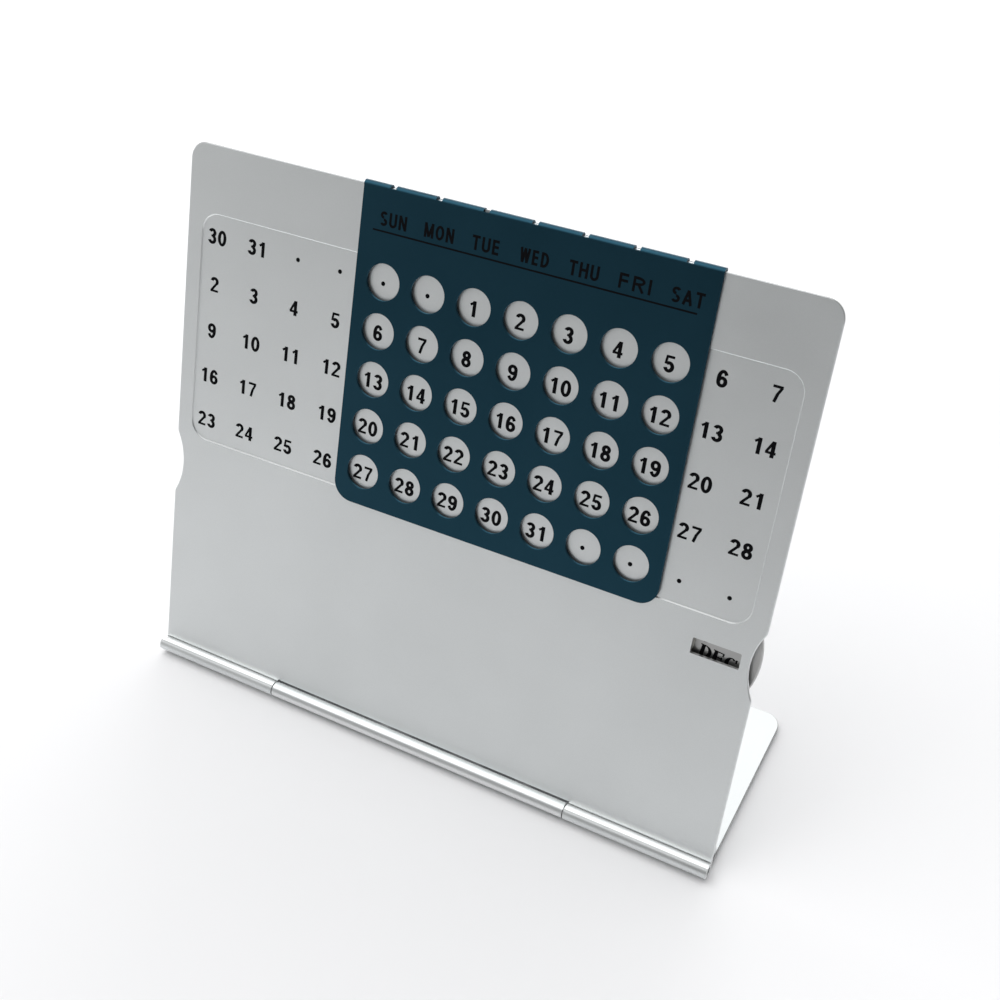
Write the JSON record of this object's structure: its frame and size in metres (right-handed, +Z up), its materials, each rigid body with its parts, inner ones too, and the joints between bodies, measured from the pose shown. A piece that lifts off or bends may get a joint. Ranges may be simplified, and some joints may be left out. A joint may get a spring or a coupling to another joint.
{
  "type": "perpetual desk calendar",
  "caption": "Sheet-metal perpetual calendar: a leaning date panel with a sliding perforated window plate, a thumb-turned month wheel and a hinged foot plate.",
  "frame": {"origin": "on the table, under the middle of the whole part", "axes": "+X to the reader's right along the hinge, +Y to the back, +Z up; the panel faces -Y and leans back"},
  "size_m": [0.1494, 0.0508, 0.1227],
  "materials": {
    "satin_aluminium": "fine matt silver anodised sheet",
    "teal_anodised": "dark teal anodised sheet",
    "wheel_aluminium": "matt silver disc with printed month names",
    "bright_steel": "turned steel",
    "spring_steel": "blued spring steel",
    "nylon": "natural nylon",
    "silicone": "translucent grey silicone",
    "black_ink": "screen-printed black ink"
  },
  "bodies": {
    "base": {"base_plate": "satin_aluminium", "hinge_pin": "bright_steel", "foot_front_left": "silicone", "foot_front_right": "silicone", "foot_rear_left": "silicone", "foot_rear_right": "silicone"},
    "panel": {"front_panel": "satin_aluminium", "wheel_stud": "bright_steel", "spring_washer": "spring_steel", "flat_washer": "bright_steel", "retaining_clip": "spring_steel"},
    "slide": {"date_slide": "teal_anodised"},
    "wheel": {"month_wheel": "wheel_aluminium", "wheel_bush": "nylon"}
  },
  "joints": [
    {"name": "stand_tilt", "type": "hinge", "parent": "base", "child": "panel", "pos_m": [0, -0.0236, 0.0024], "axis": [1, 0, 0], "range_deg": [-20, 20]},
    {"name": "date_shift", "type": "slide", "parent": "panel", "child": "slide", "axis": [1, 0, 0], "range_m": [-0.044, 0.022]},
    {"name": "month_turn", "type": "hinge", "parent": "panel", "child": "wheel", "pos_m": [0.0557, -0.00368, 0.04894], "axis": [0, -0.9397, 0.342], "continuous": true}
  ]
}
